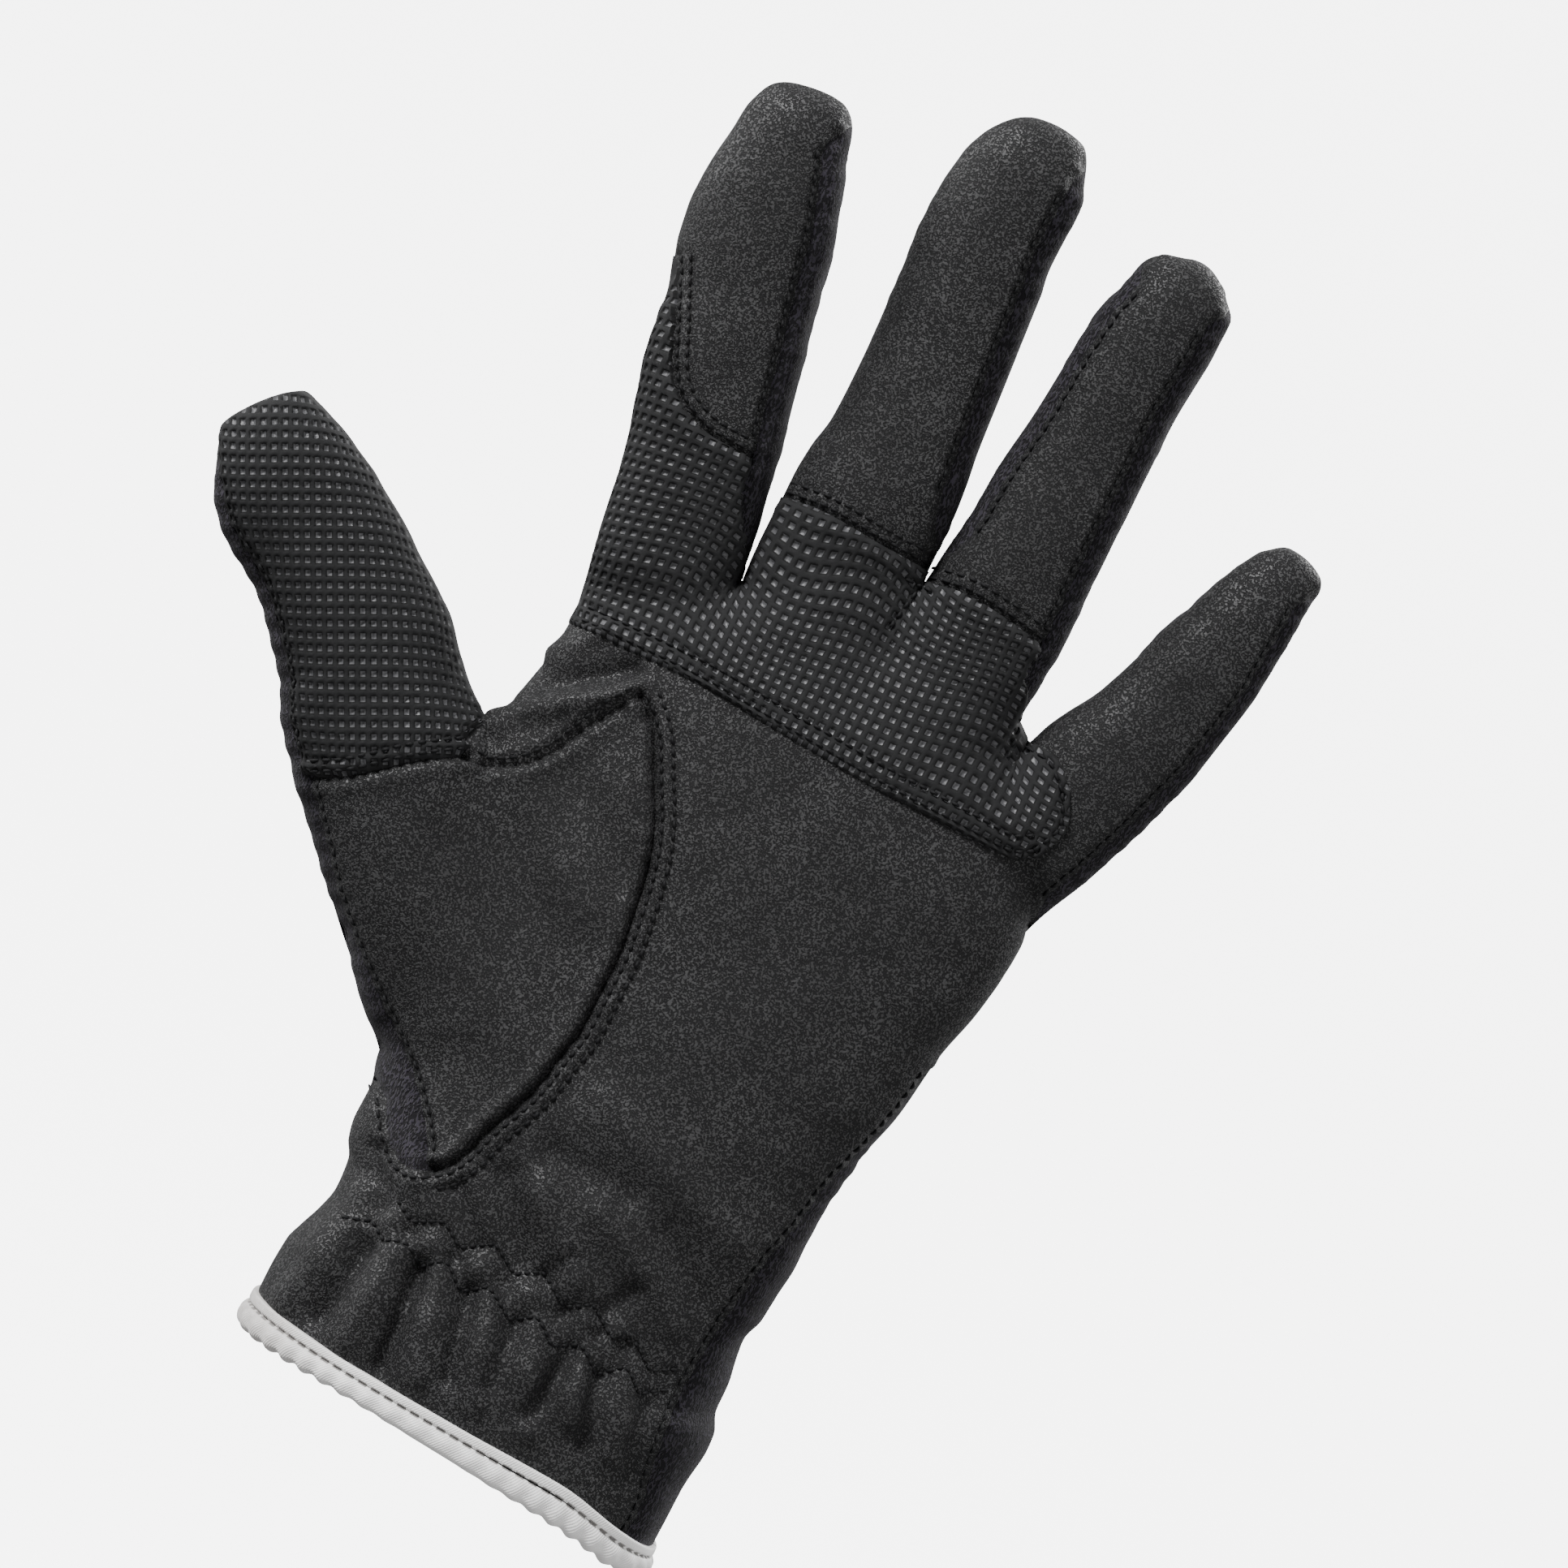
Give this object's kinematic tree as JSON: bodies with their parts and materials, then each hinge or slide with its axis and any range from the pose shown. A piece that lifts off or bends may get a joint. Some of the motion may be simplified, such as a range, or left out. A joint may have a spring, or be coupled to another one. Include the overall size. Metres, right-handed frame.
{
  "type": "horse riding glove",
  "caption": "Left-hand riding glove in grained synthetic leather with net-textured grip panels, a knit back, an elasticated wrist and a taped hem.",
  "frame": {"origin": "middle of the cuff opening, where the wrist goes in", "axes": "+Z from the cuff to the fingertips, -Y the way the palm faces, -X towards the thumb"},
  "size_m": [0.1685, 0.0526, 0.2364],
  "materials": {
    "leather": "fine pebble grain, satin",
    "grip": "raised net with small glossy wells",
    "knit": "fine matt knit",
    "tape": "satin woven tape"
  },
  "bodies": {
    "root": {"palm": "leather", "thumb_base": "leather", "thumb_gusset": "leather", "index_front": "leather", "middle_front": "leather", "ring_front": "leather", "thumb_grip_front": "grip", "knuckle_patch": "grip", "fork_index_middle": "knit", "fork_middle_ring": "knit", "fork_ring_little": "knit", "thumb_back": "knit", "hand_back": "knit", "hem_tape": "tape"}
  },
  "joints": []
}
